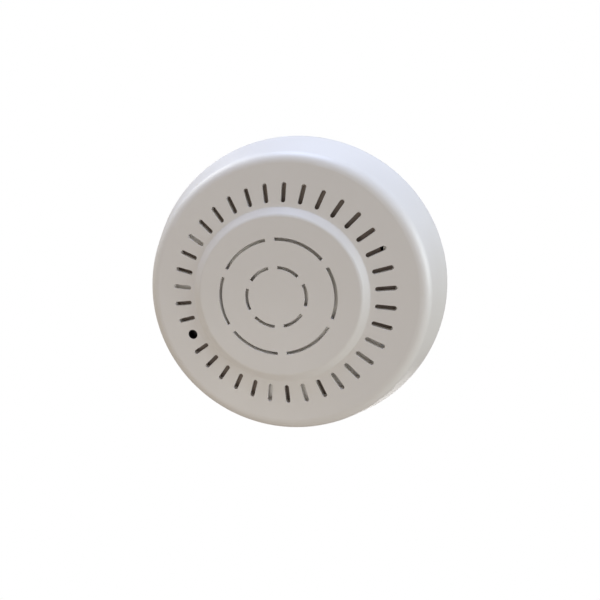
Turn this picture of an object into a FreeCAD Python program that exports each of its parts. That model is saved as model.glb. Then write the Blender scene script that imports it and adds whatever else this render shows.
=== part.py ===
import FreeCAD, Part
import Sketcher
import math
import os

# A round smoke alarm that hangs under a ceiling.
# Frame: +Z up, the ceiling is the plane z = 0, the alarm hangs below it. Lengths in mm, depths are
# measured down from the ceiling. The battery well lies along -Y, the bracket's two screws along X.

Vector = FreeCAD.Vector
doc = FreeCAD.newDocument("smoke_alarm")
sheet = doc.addObject("Spreadsheet::Sheet", "Sizes")

SIZES = [
    # the cover, the only piece seen once the alarm is up
    ("rim_radius", 61.4), ("rim_depth", 1.0), ("face_depth", 24.5), ("face_corner_radius", 50.0),
    ("edge_round", 5.0), ("cover_wall", 2.2), ("disc_base_radius", 31.8), ("disc_top_radius", 29.0),
    ("disc_rise", 1.8), ("slot_ring_radius", 36.8), ("slot_length", 6.85), ("slot_width", 1.55),
    ("slot_pitch", 10.0), ("indicator_angle", 25.0), ("indicator_hole_radius", 1.85),
    ("arc_outer_radius", 20.65), ("arc_inner_radius", 10.7), ("arc_width", 1.1), ("arc_bridge", 3.3),
    ("boss_margin", 0.475), ("boss_end_depth", 11.2), ("pilot_radius", 1.3), ("guide_wall", 1.2),
    ("locating_hole_radius", 1.5), ("pilot_end_wall", 2.6),
    # the rear housing
    ("back_depth", 2.8), ("floor_thickness", 1.8), ("cover_gap", 0.5), ("skirt_wall", 1.4),
    ("skirt_end_depth", 9.0), ("post_wall", 0.8), ("post_gap", 0.2), ("counterbore_radius", 2.9),
    ("counterbore_depth", 3.2), ("screw_hole_radius", 1.6), ("edge_screw_inset", 7.3),
    ("edge_post_radius", 3.4), ("recess_depth", 0.8), ("baffle_gap", 0.3), ("baffle_margin", 1.2),
    ("locating_gap", 0.2), ("locating_pin_length", 3.0), ("screw_head_height", 1.8),
    ("rib_height", 0.5), ("rib_width", 1.0), ("rib_start", 16.0), ("rib_end", 41.0),
    # the battery well and its cells
    ("well_inner_end", 3.3), ("well_wall", 1.2), ("cell_radius", 5.25), ("cell_length", 44.5),
    ("cell_gap", 1.0), ("cell_side_gap", 0.5), ("cell_door_gap", 0.4), ("cell_floor_gap", 0.1),
    ("contact_thickness", 0.4), ("contact_side", 8.0), ("spring_room", 3.3), ("nub_length", 1.0),
    ("nub_radius", 1.9), ("contact_wire", 0.3), ("contact_coil_radius", 3.0),
    # the battery door
    ("door_gap", 0.3), ("door_thickness", 1.6), ("pin_radius", 0.45), ("pin_gap", 0.3),
    ("pin_reach", 0.8), ("grip_length", 12.0), ("grip_width", 4.0), ("grip_depth", 0.8),
    # the ceiling bracket and its bayonet
    ("bracket_width", 4.5), ("bracket_thickness", 2.2), ("ear_thickness", 1.2), ("ear_half_width", 7.0),
    ("mount_spacing", 76.0), ("mount_slot_length", 11.0), ("mount_slot_width", 4.5),
    ("ledge_reach", 2.0), ("ledge_thickness", 0.8), ("ledge_angle", 14.0), ("stop_angle", 3.0),
    ("stop_gap_angle", 0.6), ("hook_angle", 12.0), ("stem_width", 2.2), ("turn_gap", 0.3),
    ("lip_depth", 0.5), ("lip_thickness", 0.7), ("coring_depth", 0.8), ("coring_rim", 1.2),
    # the circuit board and what stands on it
    ("board_edge_gap", 3.4), ("board_standoff", 1.0), ("board_thickness", 1.6), ("board_gap", 0.5),
    ("board_screw_inset", 4.0), ("board_screw_radius", 1.05), ("chamber_gap", 0.5),
    ("chamber_radius", 17.0), ("chamber_end_depth", 16.5), ("chamber_plate", 1.1), ("vane_length", 5.0),
    ("vane_thickness", 0.9), ("screen_thickness", 0.3), ("eye_radius", 1.5), ("holder_size", 5.6),
    ("eye_distance", 7.2), ("cup_radius", 23.5), ("cup_plate", 1.2), ("cup_wall", 1.2),
    ("cup_leg_radius", 1.6), ("cup_gap", 0.4), ("piezo_radius", 13.5), ("piezo_thickness", 0.3),
    ("ceramic_radius", 9.0), ("ceramic_thickness", 0.25), ("ledge_ring", 2.0),
    # the test plunger in the indicator hole
    ("plunger_gap", 0.3), ("tip_recess", 3.0), ("flange_thickness", 0.8),
    ("switch_height", 2.5), ("switch_side", 6.0), ("actuator_radius", 1.15), ("actuator_depth", 1.0),
    ("spring_wire", 0.25), ("spring_gap", 0.35),
]

# What fits into, seats on or lines up with another piece is worked out from the sizes above.
DERIVED = {
    "cone_slope": "(rim_radius-face_corner_radius)/(face_depth-rim_depth)",
    "cone_shift": "cover_wall*sqrt(1+cone_slope*cone_slope)",
    "inside_rim": "rim_radius-cone_shift",
    "inside_corner": "face_corner_radius-cone_shift+cover_wall*cone_slope",
    "inside_depth": "face_depth-cover_wall",
    "disc_depth": "face_depth+disc_rise",
    "disc_inside": "disc_depth-cover_wall",
    "boss_radius": "slot_length/2+boss_margin",
    "pilot_end_depth": "inside_depth-pilot_end_wall",
    "floor_depth": "back_depth+floor_thickness",
    "floor_radius": "inside_rim-cone_slope*(floor_depth-rim_depth)-cover_gap",
    "skirt_radius": "inside_rim-cone_slope*(skirt_end_depth-rim_depth)-cover_gap",
    "post_radius": "counterbore_radius+post_wall",
    "post_end_depth": "boss_end_depth-post_gap",
    "post_hole_radius": "max(boss_radius;post_radius)+board_gap",
    "edge_screw_radius": "face_corner_radius-edge_screw_inset",
    "screw_seat": "back_depth+counterbore_depth",
    "cell_depth": "back_depth+door_thickness+cell_door_gap+cell_radius",
    "cell_spacing": "2*cell_radius+cell_gap",
    "well_half_width": "cell_spacing/2+cell_radius+cell_side_gap",
    "well_outer_end": "2*contact_thickness+cell_length+spring_room-well_inner_end",
    "well_outside": "well_half_width+well_wall",
    "well_floor_depth": "cell_depth+cell_radius+cell_floor_gap",
    "well_end_depth": "well_floor_depth+well_wall",
    "hinge_y": "well_inner_end-door_gap-door_thickness/2",
    "hinge_depth": "back_depth+door_thickness/2",
    "leaf_half": "well_half_width-door_gap",
    "pin_half": "well_half_width+pin_reach",
    "bracket_outer_radius": "floor_radius",
    "bracket_inner_radius": "bracket_outer_radius-bracket_width",
    "ledge_inner_radius": "bracket_inner_radius-ledge_reach",
    "stem_outer_radius": "ledge_inner_radius-turn_gap",
    "lip_outer_radius": "bracket_inner_radius-2*turn_gap",
    "hook_inner_radius": "stem_outer_radius-stem_width",
    "lip_end": "lip_depth+lip_thickness",
    "ear_end": "mount_spacing/2-mount_slot_length/2-2.5",
    "rib_top": "back_depth-rib_height",
    "board_depth": "floor_depth+board_standoff",
    "board_face": "board_depth+board_thickness",
    "board_radius": "skirt_radius-skirt_wall-board_edge_gap",
    "board_screw_ring": "board_radius-board_screw_inset",
    "plate_end": "board_face+chamber_plate",
    "cap_depth": "chamber_end_depth-chamber_plate",
    "vane_outer_radius": "chamber_radius-1.4",
    "vane_inner_radius": "vane_outer_radius-vane_length",
    "screen_radius": "chamber_radius-0.5",
    "cap_radius": "chamber_radius+0.6",
    "chamber_x": "-(well_outside+(cap_radius+chamber_gap)*cos(59))",
    "chamber_y": "well_inner_end+well_wall+(cap_radius+chamber_gap)*sin(59)",
    "eye_depth": "plate_end+holder_size*0.6",
    "cup_back_depth": "max(well_end_depth;chamber_end_depth)+0.2",
    "cup_face": "disc_inside-cup_gap",
    "cup_floor": "cup_face-cup_plate",
    "piezo_seat": "cup_floor-1.1",
    "brass_top": "piezo_seat-piezo_thickness",
    "ceramic_top": "brass_top-ceramic_thickness",
    "switch_top_depth": "board_face+switch_height",
    "actuator_back_depth": "switch_top_depth-actuator_depth",
    "plunger_back_depth": "switch_top_depth+1",
    "guide_end_depth": "switch_top_depth+3.5",
    "guide_outer_radius": "indicator_hole_radius+guide_wall",
    "plunger_radius": "indicator_hole_radius-plunger_gap",
    "plunger_tip_depth": "face_depth-tip_recess",
    "flange_radius": "guide_outer_radius-0.3",
    "flange_top": "guide_end_depth-0.1-flange_thickness",
    "spring_radius": "plunger_radius+spring_gap+spring_wire",
}
for row, (alias, value) in enumerate(SIZES, 1):
    sheet.set(f"A{row}", alias)
    sheet.set(f"B{row}", str(value))
    sheet.setAlias(f"B{row}", alias)
doc.recompute()


WORDS = {alias for alias, _ in SIZES}


def bound(text):
    # every size name in an expression is looked up in the sheet, or worked out from names that are
    pieces = []
    word = ""
    for letter in text + " ":
        if letter.isalnum() or letter == "_":
            word += letter
            continue
        if word in DERIVED:
            word = f"({bound(DERIVED[word])})"
        elif word in WORDS:
            word = "Sizes." + word
        pieces += [word, letter]
        word = ""
    return "".join(pieces).strip()


def size(text):
    # the number that an expression of sizes gives
    return float(sheet.evalExpression(bound(str(text))))


def bind(thing, prop, text):
    thing.setExpression(prop, bound(str(text)))


# ---- building blocks: PartDesign bodies ----------------------------------------------------------

NODES = []


def new_body(name):
    body = doc.addObject("PartDesign::Body", name)
    body.Label = name
    NODES.append(body)
    return body


def plane_of(body, role):
    return [item for item in body.Origin.OriginFeatures if item.Role == role][0]


def new_sketch(body, name, depth="0", role="XY_Plane", x="0", y="0", turn="0"):
    # on XY_Plane the sketch lies at a depth; x, y and turn move and turn it in its own plane
    sketch = body.newObject("Sketcher::SketchObject", name)
    sketch.AttachmentSupport = [(plane_of(body, role), "")]
    sketch.MapMode = "FlatFace"
    sketch.AttachmentOffset = FreeCAD.Placement(Vector(0, 0, 0), FreeCAD.Rotation(Vector(0, 0, 1), 1))
    bind(sketch, "AttachmentOffset.Base.x", x)
    bind(sketch, "AttachmentOffset.Base.y", y)
    bind(sketch, "AttachmentOffset.Base.z", f"-({depth})")
    bind(sketch, "AttachmentOffset.Rotation.Angle", turn)
    return sketch


def fix_point(sketch, geometry, end, x, y):
    # holds one point of a sketch at x, y
    for kind, value, axis in (("DistanceX", x, -2), ("DistanceY", y, -1)):
        if str(value) == "0":
            sketch.addConstraint(Sketcher.Constraint("PointOnObject", geometry, end, axis))
            continue
        number = sketch.addConstraint(Sketcher.Constraint(kind, -1, 1, geometry, end, size(value)))
        bind(sketch, f"Constraints[{number}]", value)


def polygon(sketch, points):
    # a closed outline through points given as pairs of expressions
    spots = [Vector(size(x), size(y), 0) for x, y in points]
    first = sketch.GeometryCount
    count = len(points)
    for index in range(count):
        sketch.addGeometry(Part.LineSegment(spots[index], spots[(index + 1) % count]))
    for index in range(count):
        after = first + (index + 1) % count
        sketch.addConstraint(Sketcher.Constraint("Coincident", first + index, 2, after, 1))
    for index, (x, y) in enumerate(points):
        fix_point(sketch, first + index, 1, x, y)


def rectangle(sketch, x_low, x_high, y_low, y_high):
    polygon(sketch, [(x_low, y_low), (x_high, y_low), (x_high, y_high), (x_low, y_high)])


def circle(sketch, radius, x="0", y="0"):
    item = sketch.addGeometry(Part.Circle(Vector(size(x), size(y), 0), Vector(0, 0, 1), size(radius)))
    if str(x) == "0" and str(y) == "0":
        sketch.addConstraint(Sketcher.Constraint("Coincident", item, 3, -1, 1))
    else:
        fix_point(sketch, item, 3, x, y)
    number = sketch.addConstraint(Sketcher.Constraint("Radius", item, size(radius)))
    bind(sketch, f"Constraints[{number}]", radius)


def obround(sketch, length, width, x="0"):
    # a slot with round ends that runs along the sketch's X, its centre at x
    half = f"(({length})-({width}))/2"
    radius = f"({width})/2"
    right, left, rise = size(f"{x}+{half}"), size(f"{x}-{half}"), size(radius)
    first = sketch.GeometryCount
    sketch.addGeometry(Part.LineSegment(Vector(left, -rise, 0), Vector(right, -rise, 0)))
    cap = Part.Circle(Vector(right, 0, 0), Vector(0, 0, 1), rise)
    sketch.addGeometry(Part.ArcOfCircle(cap, -math.pi / 2, math.pi / 2))
    sketch.addGeometry(Part.LineSegment(Vector(right, rise, 0), Vector(left, rise, 0)))
    cap = Part.Circle(Vector(left, 0, 0), Vector(0, 0, 1), rise)
    sketch.addGeometry(Part.ArcOfCircle(cap, math.pi / 2, 3 * math.pi / 2))
    join_outline(sketch, first, [(first, 2), (first + 1, 1), (first + 1, 2), (first + 2, 1),
                                 (first + 2, 2), (first + 3, 1), (first + 3, 2), (first, 1)])
    fix_point(sketch, first, 2, f"{x}+{half}", f"-{radius}")
    fix_point(sketch, first + 2, 1, f"{x}+{half}", radius)
    fix_point(sketch, first + 2, 2, f"{x}-{half}", radius)
    fix_point(sketch, first, 1, f"{x}-{half}", f"-{radius}")
    for arc, centre in ((first + 1, f"{x}+{half}"), (first + 3, f"{x}-{half}")):
        number = sketch.addConstraint(Sketcher.Constraint("DistanceX", -1, 1, arc, 3, size(centre)))
        bind(sketch, f"Constraints[{number}]", centre)


def join_outline(sketch, first, ends):
    for index in range(0, len(ends), 2):
        (one, end_one), (two, end_two) = ends[index], ends[index + 1]
        sketch.addConstraint(Sketcher.Constraint("Coincident", one, end_one, two, end_two))


def ring_sector(sketch, inner, outer, half_angle):
    # a piece of a ring, centred on the sketch's X axis
    low, high, turn = size(inner), size(outer), math.radians(size(half_angle))
    first = sketch.GeometryCount
    big = Part.Circle(Vector(0, 0, 0), Vector(0, 0, 1), high)
    small = Part.Circle(Vector(0, 0, 0), Vector(0, 0, 1), low)
    sketch.addGeometry(Part.ArcOfCircle(big, -turn, turn))
    sketch.addGeometry(Part.ArcOfCircle(small, -turn, turn))
    x_low, y_low = math.cos(turn) * low, math.sin(turn) * low
    x_high, y_high = math.cos(turn) * high, math.sin(turn) * high
    sketch.addGeometry(Part.LineSegment(Vector(x_low, -y_low, 0), Vector(x_high, -y_high, 0)))
    sketch.addGeometry(Part.LineSegment(Vector(x_low, y_low, 0), Vector(x_high, y_high, 0)))
    join_outline(sketch, first, [(first + 2, 2), (first, 1), (first + 3, 2), (first, 2),
                                 (first + 2, 1), (first + 1, 1), (first + 3, 1), (first + 1, 2)])
    for arc, radius, end in ((first, outer, 2), (first + 1, inner, 1)):
        sketch.addConstraint(Sketcher.Constraint("Coincident", arc, 3, -1, 1))
        number = sketch.addConstraint(Sketcher.Constraint("Radius", arc, size(radius)))
        bind(sketch, f"Constraints[{number}]", radius)
        for line, sign in ((first + 2, "-"), (first + 3, "")):
            rise = f"{sign}({radius})*sin({half_angle})"
            number = sketch.addConstraint(Sketcher.Constraint("DistanceY", -1, 1, line, end, size(rise)))
            bind(sketch, f"Constraints[{number}]", rise)


def pad(body, sketch, height, up=False):
    feature = body.newObject("PartDesign::Pad", sketch.Name + "_pad")
    feature.Profile = sketch
    feature.Length = size(height)
    bind(feature, "Length", height)
    feature.Reversed = not up
    doc.recompute()
    return feature


def pocket(body, sketch, depth, up=False):
    before = body.Shape.Volume
    feature = body.newObject("PartDesign::Pocket", sketch.Name + "_pocket")
    feature.Profile = sketch
    feature.Length = size(depth)
    bind(feature, "Length", depth)
    feature.Reversed = up
    doc.recompute()
    if not body.Shape.Volume < before - 1e-6:
        raise RuntimeError(f"{feature.Name} removes nothing")
    return feature


def revolve(body, sketch):
    feature = body.newObject("PartDesign::Revolution", sketch.Name + "_turned")
    feature.Profile = sketch
    feature.ReferenceAxis = (sketch, ["V_Axis"])
    feature.Angle = 360
    doc.recompute()
    return feature


def around(body, features, count, angle):
    # repeats features about Z: count copies spread over angle, the first and last on its ends
    feature = body.newObject("PartDesign::PolarPattern", features[0].Name + "_ring")
    feature.Originals = features
    feature.Axis = (plane_of(body, "Z_Axis"), [""])
    body.Tip = feature
    feature.Angle = size(angle)
    bind(feature, "Angle", angle)
    feature.Occurrences = count
    doc.recompute()
    return feature


def circle_edges(shape, rings):
    # names of the full or part circles about Z with a given radius and height
    names = []
    for number, edge in enumerate(shape.Edges, 1):
        if not isinstance(edge.Curve, Part.Circle):
            continue
        centre = edge.Curve.Center
        for radius, height in rings:
            near_axis = math.hypot(centre.x, centre.y) < 1e-4
            if near_axis and abs(edge.Curve.Radius - radius) < 1e-3 and abs(centre.z - height) < 1e-3:
                names.append(f"Edge{number}")
    return names


def round_edges(body, rings, radius):
    base = body.Tip
    names = circle_edges(base.Shape, [(size(r), size(z)) for r, z in rings])
    if not names:
        raise RuntimeError(f"no edge to round on {body.Name}")
    feature = body.newObject("PartDesign::Fillet", base.Name + "_round")
    feature.Base = (base, names)
    feature.Radius = size(radius)
    bind(feature, "Radius", radius)
    doc.recompute()
    return feature


def disc(body, name, radius, depth, height, x="0", y="0", up=False):
    sketch = new_sketch(body, name, depth)
    circle(sketch, radius, x, y)
    return pad(body, sketch, height, up)


def hole(body, name, radius, depth, length, x="0", y="0", up=False):
    sketch = new_sketch(body, name, depth)
    circle(sketch, radius, x, y)
    return pocket(body, sketch, length, up)


def polar(radius, angle):
    return f"({radius})*cos({angle})", f"({radius})*sin({angle})"


# ---- building blocks: Part primitives -----------------------------------------------------------

def keep(item, name):
    item.Label = name
    NODES.append(item)
    return item


def tube_z(name, radius, top, height, x="0", y="0"):
    # an upright cylinder that hangs down from a depth
    item = doc.addObject("Part::Cylinder", name)
    bind(item, "Radius", radius)
    bind(item, "Height", height)
    bind(item, "Placement.Base.x", x)
    bind(item, "Placement.Base.y", y)
    bind(item, "Placement.Base.z", f"-({top})-({height})")
    return item


def block(name, x_low, x_high, y_low, y_high, top, height):
    # a box between two X and two Y values that hangs down from a depth
    item = doc.addObject("Part::Box", name)
    bind(item, "Length", f"({x_high})-({x_low})")
    bind(item, "Width", f"({y_high})-({y_low})")
    bind(item, "Height", height)
    bind(item, "Placement.Base.x", x_low)
    bind(item, "Placement.Base.y", y_low)
    bind(item, "Placement.Base.z", f"-({top})-({height})")
    return item


def rod(name, radius, length, x, y, depth, heading):
    # a cylinder lying down, from x, y at a depth towards a compass heading (0 is +X, 90 is +Y)
    item = doc.addObject("Part::Cylinder", name)
    lying = FreeCAD.Rotation(Vector(0, 1, 0), 90)
    item.Placement = FreeCAD.Placement(Vector(0, 0, 0), FreeCAD.Rotation(Vector(0, 0, 1), heading) * lying)
    bind(item, "Radius", radius)
    bind(item, "Height", length)
    bind(item, "Placement.Base.x", x)
    bind(item, "Placement.Base.y", y)
    bind(item, "Placement.Base.z", f"-({depth})")
    return item


def ball(name, radius, x, y, depth):
    item = doc.addObject("Part::Sphere", name)
    bind(item, "Radius", radius)
    bind(item, "Placement.Base.x", x)
    bind(item, "Placement.Base.y", y)
    bind(item, "Placement.Base.z", f"-({depth})")
    return item


def fuse(name, items):
    item = doc.addObject("Part::MultiFuse", name)
    item.Shapes = items
    item.Refine = True
    return item


def cut(name, base, tool):
    item = doc.addObject("Part::Cut", name)
    item.Base = base
    item.Tool = tool
    item.Refine = True
    return item


def coil(name, radius, wire, pitch, height, x, y, depth, turn=0):
    # a round-wire spring along +Z, or along +Y when turned -90 about X
    spine = doc.addObject("Part::Helix", name + "_spine")
    bind(spine, "Pitch", pitch)
    bind(spine, "Height", height)
    bind(spine, "Radius", radius)
    section = doc.addObject("Part::Circle", name + "_section")
    bind(section, "Radius", wire)
    section.Placement = FreeCAD.Placement(Vector(0, 0, 0), FreeCAD.Rotation(Vector(1, 0, 0), 90))
    bind(section, "Placement.Base.x", radius)
    sweep = doc.addObject("Part::Sweep", name)
    sweep.Sections = [section]
    sweep.Spine = (spine, [])
    sweep.Solid = True
    sweep.Frenet = True
    sweep.Placement = FreeCAD.Placement(Vector(0, 0, 0), FreeCAD.Rotation(Vector(1, 0, 0), turn))
    bind(sweep, "Placement.Base.x", x)
    bind(sweep, "Placement.Base.y", y)
    bind(sweep, "Placement.Base.z", f"-({depth})")
    return sweep


def set_at(body, x, y):
    # moves a body that is modelled around its own origin to x, y
    bind(body, "Placement.Base.x", x)
    bind(body, "Placement.Base.y", y)


def screw(name, x, y, head_radius, head_top, head_height, shank_radius, shank_top, shank_height):
    # a round-headed screw with a cross recess in the head's outer face
    head = tube_z(name + "_head", head_radius, head_top, head_height, x, y)
    shank = tube_z(name + "_shank", shank_radius, shank_top, shank_height, x, y)
    blank = fuse(name + "_blank", [head, shank])
    head_up = size(head_top) < size(shank_top)
    cross_top = head_top if head_up else f"({head_top})+({head_height})-0.7"
    half = f"({head_radius})*0.6"
    bars = [
        block(name + "_cross_x", f"{x}-{half}", f"{x}+{half}", f"{y}-0.25", f"{y}+0.25", cross_top, "0.7"),
        block(name + "_cross_y", f"{x}-0.25", f"{x}+0.25", f"{y}-{half}", f"{y}+{half}", cross_top, "0.7"),
    ]
    return keep(cut(name, blank, fuse(name + "_cross", bars)), name)


# ---- shared places -------------------------------------------------------------------------------

indicator = polar("slot_ring_radius", "indicator_angle")
FIXING_ANGLES = ("85", "-35")
LOCATING_ANGLES = ("55", "-55")
EDGE_FIXING_ANGLE = "207"
fixing_spots = [polar("slot_ring_radius", angle) for angle in FIXING_ANGLES]
locating_spots = [polar("slot_ring_radius", angle) for angle in LOCATING_ANGLES]
edge_spot = polar("edge_screw_radius", EDGE_FIXING_ANGLE)
board_spots = [polar("board_screw_ring", angle) for angle in ("-12", "168", "110")]
HOOK_ANGLES = ("100", "220", "340")


# ---- mounting_bracket: a flat ring with two slotted ears and three bayonet ledges -----------------

bracket = new_body("mounting_bracket")
outline = new_sketch(bracket, "bracket_ring")
circle(outline, "bracket_outer_radius")
circle(outline, "bracket_inner_radius")
pad(bracket, outline, "bracket_thickness")
round_edges(bracket, [("bracket_outer_radius", "0")], "0.5")
ear_outline = new_sketch(bracket, "bracket_ear")
rectangle(ear_outline, "ear_end", "(bracket_inner_radius+0.8)", "-ear_half_width", "ear_half_width")
ear = pad(bracket, ear_outline, "ear_thickness")
around(bracket, [ear], 2, "360")
slot_outline = new_sketch(bracket, "bracket_slot")
obround(slot_outline, "mount_slot_length", "mount_slot_width", "mount_spacing/2")
ear_slot = pocket(bracket, slot_outline, "bracket_thickness")
around(bracket, [ear_slot], 2, "360")
ledge_outline = new_sketch(bracket, "bracket_ledge", "bracket_thickness-ledge_thickness",
                           turn=HOOK_ANGLES[0])
ring_sector(ledge_outline, "ledge_inner_radius", "(bracket_inner_radius+0.4)", "ledge_angle/2")
ledge = pad(bracket, ledge_outline, "ledge_thickness")
stop_turn = f"{HOOK_ANGLES[0]}+hook_angle/2+stop_gap_angle+stop_angle/2"
stop_outline = new_sketch(bracket, "bracket_stop", "0", turn=stop_turn)
ring_sector(stop_outline, "ledge_inner_radius", "(bracket_inner_radius+0.4)", "stop_angle/2")
stop = pad(bracket, stop_outline, "bracket_thickness")
around(bracket, [ledge, stop], 3, "360")
coring_outline = new_sketch(bracket, "bracket_coring", "0", turn="15")
ring_sector(coring_outline, "bracket_inner_radius+coring_rim", "bracket_outer_radius-coring_rim", "9")
coring = pocket(bracket, coring_outline, "coring_depth")
around(bracket, [coring], 12, "360")

# ---- front_cover: the turned shell with its slots, arcs and inner bosses --------------------------

cover = new_body("front_cover")
shell = new_sketch(cover, "cover_profile", role="XZ_Plane")
polygon(shell, [
    ("0", "-disc_depth"), ("disc_top_radius", "-disc_depth"),
    ("disc_base_radius", "-face_depth"), ("face_corner_radius", "-face_depth"),
    ("rim_radius", "-rim_depth"), ("(rim_radius-cone_shift)", "-rim_depth"),
    ("inside_corner", "-inside_depth"), ("disc_base_radius-1.2", "-inside_depth"),
    ("disc_top_radius-1.2", "-(disc_depth-cover_wall)"), ("0", "-(disc_depth-cover_wall)"),
])
revolve(cover, shell)
round_edges(cover, [("face_corner_radius", "-face_depth")], "edge_round")
round_edges(cover, [("inside_corner", "-inside_depth")], "edge_round-cover_wall")
round_edges(cover, [("disc_top_radius", "-disc_depth")], "disc_rise")
round_edges(cover, [("disc_base_radius", "-face_depth")], "disc_rise/2")
round_edges(cover, [("rim_radius", "-rim_depth")], "cover_wall/4")

slot_outline = new_sketch(cover, "cover_slot", "inside_depth", turn="indicator_angle+slot_pitch")
obround(slot_outline, "slot_length", "slot_width", "slot_ring_radius")
slot = pocket(cover, slot_outline, "cover_wall")
slot_places = round(360 / size("slot_pitch"))
around(cover, [slot], slot_places - 1, "360-2*slot_pitch")
hole(cover, "cover_indicator_hole", "indicator_hole_radius", "inside_depth", "cover_wall", *indicator)

for name, radius in (("outer", "arc_outer_radius"), ("inner", "arc_inner_radius")):
    arc_outline = new_sketch(cover, f"cover_{name}_arc", "disc_inside", turn="indicator_angle+20")
    half_angle = f"(30-asin(arc_bridge/2/{radius})/(1 deg))"
    ring_sector(arc_outline, f"{radius}-arc_width/2", f"{radius}+arc_width/2", half_angle)
    arc = pocket(cover, arc_outline, "cover_wall")
    around(cover, [arc], 6, "360")

boss_height = "(inside_depth-boss_end_depth)"
for number, (x, y) in enumerate(fixing_spots + locating_spots):
    disc(cover, f"cover_boss_{number}", "boss_radius", "boss_end_depth", boss_height, x, y)
disc(cover, "cover_edge_boss", "edge_post_radius", "boss_end_depth", boss_height, *edge_spot)
guide_height = "(inside_depth-guide_end_depth)"
guide_outline = new_sketch(cover, "cover_guide", "guide_end_depth")
circle(guide_outline, "guide_outer_radius", *indicator)
circle(guide_outline, "indicator_hole_radius", *indicator)
pad(cover, guide_outline, guide_height)
pilot_length = "(pilot_end_depth-boss_end_depth)"
for number, (x, y) in enumerate(fixing_spots + [edge_spot]):
    hole(cover, f"cover_pilot_{number}", "pilot_radius", "boss_end_depth", pilot_length, x, y)
for number, (x, y) in enumerate(locating_spots):
    hole(cover, f"cover_socket_{number}", "locating_hole_radius", "boss_end_depth", "locating_pin_length+1",
         x, y)

# ---- rear_housing: the back plate with the battery well, posts, baffle and bayonet hooks ----------

housing = new_body("rear_housing")
disc(housing, "housing_floor", "floor_radius", "back_depth", "floor_thickness")
skirt = new_sketch(housing, "housing_skirt", "floor_depth")
circle(skirt, "skirt_radius")
circle(skirt, "skirt_radius-skirt_wall")
pad(housing, skirt, "(skirt_end_depth-floor_depth)")
well = new_sketch(housing, "housing_well", "floor_depth")
rectangle(well, "-well_outside", "well_outside", "-(well_outer_end+well_wall)",
          "well_inner_end+well_wall")
pad(housing, well, "(well_end_depth-floor_depth)")
baffle = new_sketch(housing, "housing_baffle", "well_end_depth")
rectangle(baffle, "-well_half_width", "well_half_width", "-(slot_ring_radius+slot_length/2+baffle_margin)",
          "-(slot_ring_radius-slot_length/2-baffle_margin)")
pad(housing, baffle, "(inside_depth-baffle_gap-well_end_depth)")
post_height = "(post_end_depth-floor_depth)"
for number, (x, y) in enumerate(fixing_spots + locating_spots):
    disc(housing, f"housing_post_{number}", "post_radius", "floor_depth", post_height, x, y)
disc(housing, "housing_edge_post", "edge_post_radius", "floor_depth", post_height, *edge_spot)
for number, (x, y) in enumerate(locating_spots):
    disc(housing, f"housing_pin_{number}", "locating_hole_radius-locating_gap", "post_end_depth",
         "locating_pin_length", x, y)
for number, (x, y) in enumerate(board_spots):
    disc(housing, f"housing_board_post_{number}", "board_screw_radius+1.55", "floor_depth",
         "board_standoff", x, y)
stem_outline = new_sketch(housing, "housing_stem", "lip_end", turn=HOOK_ANGLES[0])
ring_sector(stem_outline, "hook_inner_radius", "stem_outer_radius", "hook_angle/2")
stem = pad(housing, stem_outline, "(back_depth+0.2-lip_end)")
lip_outline = new_sketch(housing, "housing_lip", "lip_depth", turn=HOOK_ANGLES[0])
ring_sector(lip_outline, "hook_inner_radius", "lip_outer_radius", "hook_angle/2")
lip = pad(housing, lip_outline, "lip_thickness")
around(housing, [stem, lip], 3, "360")
for name, radius in (("inner", "22"), ("outer", "32")):
    rib = new_sketch(housing, f"housing_{name}_rib", "rib_top")
    circle(rib, f"{radius}+rib_width")
    circle(rib, radius)
    pad(housing, rib, "rib_height+0.2")
for number, angle in enumerate(("30", "60", "120", "150", "240", "300")):
    rib = new_sketch(housing, f"housing_rib_{number}", "rib_top", turn=angle)
    rectangle(rib, "rib_start", "rib_end", "-rib_width/2", "rib_width/2")
    pad(housing, rib, "rib_height+0.2")
mouth = new_sketch(housing, "housing_mouth", "rib_top")
rectangle(mouth, "-well_half_width", "well_half_width", "-well_outer_end", "well_inner_end")
pocket(housing, mouth, "well_floor_depth-rib_top")
recess_outline = new_sketch(housing, "housing_recess", "rib_top")
rectangle(recess_outline, "ear_end-0.5", "mount_spacing/2+mount_slot_length/2+2.5",
          "-(ear_half_width-1)", "ear_half_width+9")
recess = pocket(housing, recess_outline, "recess_depth+rib_height")
around(housing, [recess], 2, "360")
bearing = new_sketch(housing, "housing_bearing", "back_depth")
rectangle(bearing, "-(pin_half+pin_gap)", "(pin_half+pin_gap)", "hinge_y-pin_radius-pin_gap",
          "hinge_y+pin_radius+pin_gap")
pocket(housing, bearing, "door_thickness/2+pin_radius+pin_gap")
for number, (x, y) in enumerate(fixing_spots + [edge_spot]):
    hole(housing, f"housing_counterbore_{number}", "counterbore_radius", "back_depth",
         "counterbore_depth", x, y)
    hole(housing, f"housing_screw_hole_{number}", "screw_hole_radius", "back_depth",
         "(post_end_depth-back_depth)", x, y)
for number, (x, y) in enumerate(board_spots):
    hole(housing, f"housing_board_pilot_{number}", "board_screw_radius+0.1", "back_depth+0.6",
         "(board_depth-back_depth-0.6)", x, y)

# ---- battery_door: the hinged lid in the mouth of the battery well -------------------------------

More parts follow.
